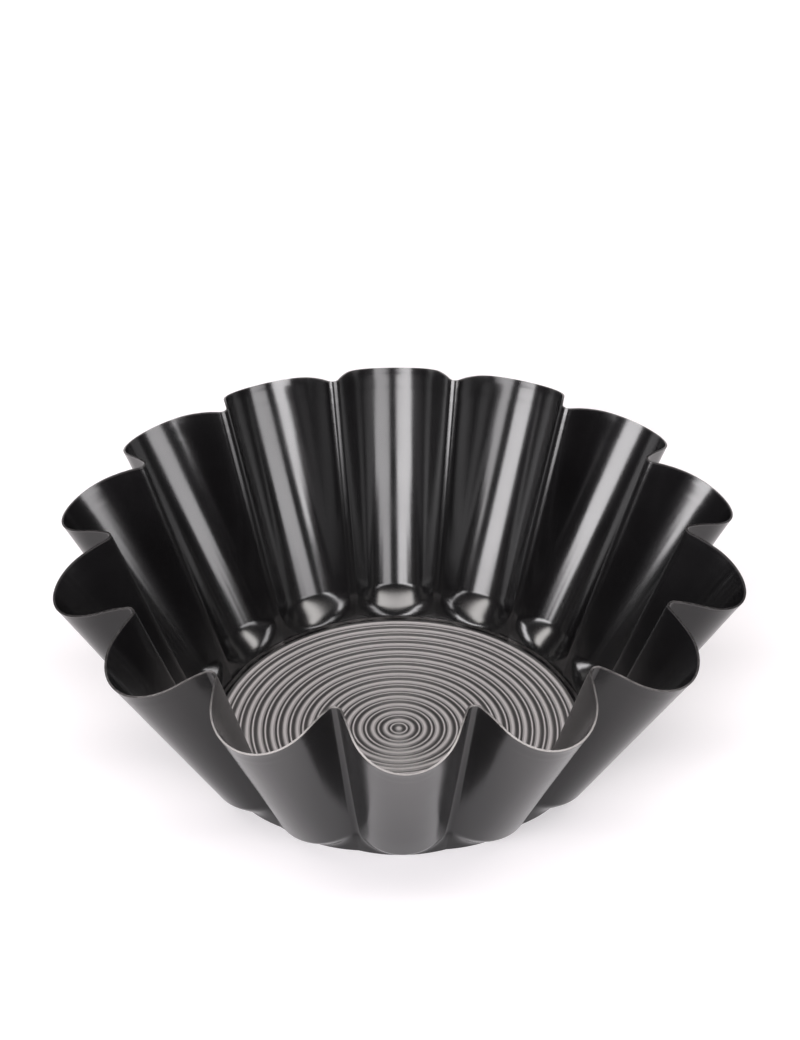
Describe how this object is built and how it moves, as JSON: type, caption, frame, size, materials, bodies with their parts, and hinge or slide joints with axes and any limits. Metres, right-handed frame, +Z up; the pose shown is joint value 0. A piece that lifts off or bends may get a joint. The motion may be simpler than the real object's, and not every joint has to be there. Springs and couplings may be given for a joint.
{
  "type": "fluted pudding mould",
  "caption": "Open round pudding mould pressed from coated steel sheet, with deep flutes, a wavy rim and a flat ringed base.",
  "frame": {"origin": "middle of the underside of the flat base, on the surface that the mould stands on", "axes": "+Z up along the mould's axis, -Y towards the flute that faces the camera"},
  "size_m": [0.205, 0.21, 0.0759],
  "materials": {
    "bare_steel": "cut edge, bright",
    "inner_coat": "gloss",
    "outer_coat": "satin"
  },
  "bodies": {
    "root": {"steel_sheet": "bare_steel", "inner_nonstick_coat": "inner_coat", "outer_satin_coat": "outer_coat"}
  },
  "joints": []
}
